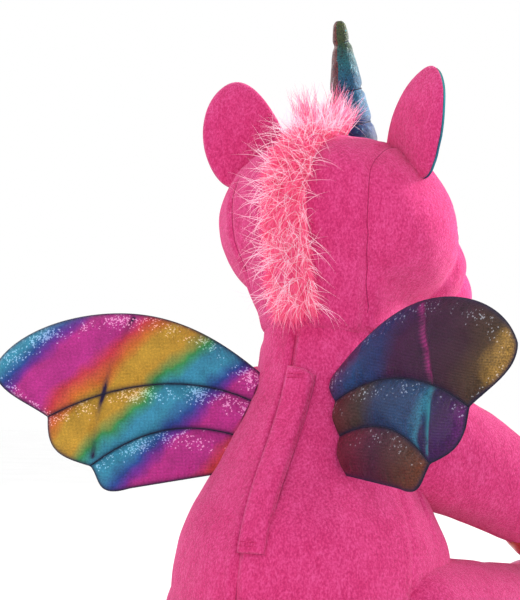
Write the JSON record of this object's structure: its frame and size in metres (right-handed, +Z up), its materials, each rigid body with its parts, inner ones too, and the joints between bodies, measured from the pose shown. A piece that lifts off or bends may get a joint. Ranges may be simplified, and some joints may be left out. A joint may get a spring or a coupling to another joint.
{
  "type": "plush unicorn",
  "caption": "Seated stuffed unicorn with a fur mane, wound horn, ears, padded scalloped wings, forward arms and legs, a back closure strip and a short tail.",
  "frame": {"origin": "centre of the flat seat, on the surface that it sits on", "axes": "+Z up, -Y where the face looks, +X the unicorn's left"},
  "size_m": [0.3193, 0.3116, 0.3683],
  "materials": {
    "pink_plush": "matte",
    "coral_fur": "matte",
    "rainbow_fabric": "satin",
    "iridescent_fabric": "satin",
    "fibre_fill": "matte",
    "hook_and_loop_tape": "matte",
    "dark_thread": "satin",
    "eye_plastic": "gloss",
    "washer_plastic": "matte"
  },
  "bodies": {
    "body": {"back_panel_left": "pink_plush", "back_panel_right": "pink_plush", "belly_panel": "pink_plush", "seat_base": "pink_plush", "body_stuffing": "fibre_fill", "loop_tape": "hook_and_loop_tape", "flap_hem": "pink_plush"},
    "closure": {"closure_flap": "pink_plush", "hook_tape": "hook_and_loop_tape"},
    "neck": {"neck_band": "pink_plush", "neck_stuffing": "fibre_fill"},
    "head": {"head_back_panel": "pink_plush", "head_side_left": "pink_plush", "head_side_right": "pink_plush", "face_panel": "pink_plush", "muzzle_cover": "pink_plush", "head_stuffing": "fibre_fill", "muzzle_stuffing": "fibre_fill", "eye_left": "eye_plastic", "eye_right": "eye_plastic", "eye_washers": "washer_plastic", "nostril_stitches": "dark_thread", "mouth_stitch": "dark_thread", "mane_backing": "coral_fur", "mane_fur": "coral_fur"},
    "horn": {"horn_cover": "iridescent_fabric", "horn_stuffing": "fibre_fill", "horn_thread": "dark_thread"},
    "tail": {"tail_backing": "coral_fur", "tail_fur": "coral_fur"},
    "ear_left": {"ear_left_outer": "pink_plush", "ear_left_lining": "iridescent_fabric"},
    "wing_left": {"wing_left_back_cover": "rainbow_fabric", "wing_left_front_cover": "rainbow_fabric", "wing_left_padding": "fibre_fill"},
    "arm_left": {"arm_left_skin": "pink_plush", "arm_left_stuffing": "fibre_fill", "arm_left_hoof": "iridescent_fabric"},
    "leg_left": {"leg_left_skin": "pink_plush", "leg_left_stuffing": "fibre_fill", "leg_left_hoof": "iridescent_fabric", "leg_left_sole": "iridescent_fabric"},
    "ear_right": {"ear_right_outer": "pink_plush", "ear_right_lining": "iridescent_fabric"},
    "wing_right": {"wing_right_back_cover": "rainbow_fabric", "wing_right_front_cover": "rainbow_fabric", "wing_right_padding": "fibre_fill"},
    "arm_right": {"arm_right_skin": "pink_plush", "arm_right_stuffing": "fibre_fill", "arm_right_hoof": "iridescent_fabric"},
    "leg_right": {"leg_right_skin": "pink_plush", "leg_right_stuffing": "fibre_fill", "leg_right_hoof": "iridescent_fabric", "leg_right_sole": "iridescent_fabric"}
  },
  "joints": [
    {"name": "closure_peel", "type": "hinge", "parent": "body", "child": "closure", "pos_m": [-0.015, 0.06823, 0.08057], "axis": [0, -0.5234, 0.8521], "range_deg": [0, 75]},
    {"name": "neck_turn", "type": "hinge", "parent": "body", "child": "neck", "pos_m": [0, -0.02938, 0.17556], "axis": [0, -0.165, 0.9863], "range_deg": [-20, 20], "stiffness_Nm_per_rad": 1},
    {"name": "neck_nod", "type": "hinge", "parent": "neck", "child": "head", "pos_m": [0, -0.02938, 0.17556], "axis": [1, 0, 0], "range_deg": [-12, 12], "stiffness_Nm_per_rad": 4},
    {"name": "horn_bend", "type": "hinge", "parent": "head", "child": "horn", "pos_m": [0, -0.0615, 0.303], "axis": [1, 0, 0], "range_deg": [-12, 12], "stiffness_Nm_per_rad": 0.1},
    {"name": "ear_left_fold", "type": "hinge", "parent": "head", "child": "ear_left", "pos_m": [0.0445, -0.029, 0.2895], "axis": [0.7589, 0.3984, -0.515], "range_deg": [-20, 20], "stiffness_Nm_per_rad": 0.05},
    {"name": "wing_left_flap", "type": "hinge", "parent": "body", "child": "wing_left", "pos_m": [0.0274, 0.0026, 0.173], "axis": [0.301, 0.3412, -0.8905], "range_deg": [-35, 35], "stiffness_Nm_per_rad": 0.2},
    {"name": "arm_left_swing", "type": "hinge", "parent": "body", "child": "arm_left", "pos_m": [0.042, -0.035, 0.145], "axis": [-1, 0, 0], "range_deg": [0, 30], "stiffness_Nm_per_rad": 1.5},
    {"name": "leg_left_spread", "type": "hinge", "parent": "body", "child": "leg_left", "pos_m": [0.058, -0.02, 0.0375], "axis": [0, 0, 1], "range_deg": [-8, 25], "stiffness_Nm_per_rad": 1.5},
    {"name": "ear_right_fold", "type": "hinge", "parent": "head", "child": "ear_right", "pos_m": [-0.0445, -0.029, 0.2895], "axis": [0.7589, -0.3984, 0.515], "range_deg": [-20, 20], "stiffness_Nm_per_rad": 0.05},
    {"name": "wing_right_flap", "type": "hinge", "parent": "body", "child": "wing_right", "pos_m": [-0.0274, 0.0026, 0.173], "axis": [0.348, -0.3731, 0.8601], "range_deg": [-35, 35], "stiffness_Nm_per_rad": 0.2},
    {"name": "arm_right_swing", "type": "hinge", "parent": "body", "child": "arm_right", "pos_m": [-0.042, -0.035, 0.145], "axis": [-1, 0, 0], "range_deg": [0, 30], "stiffness_Nm_per_rad": 1.5},
    {"name": "leg_right_spread", "type": "hinge", "parent": "body", "child": "leg_right", "pos_m": [-0.058, -0.02, 0.0375], "axis": [0, 0, -1], "range_deg": [-8, 25], "stiffness_Nm_per_rad": 1.5},
    {"name": "tail_swing", "type": "hinge", "parent": "body", "child": "tail", "pos_m": [0, 0.073, 0.026], "axis": [0, 0, 1], "range_deg": [-25, 25], "stiffness_Nm_per_rad": 0.05}
  ]
}
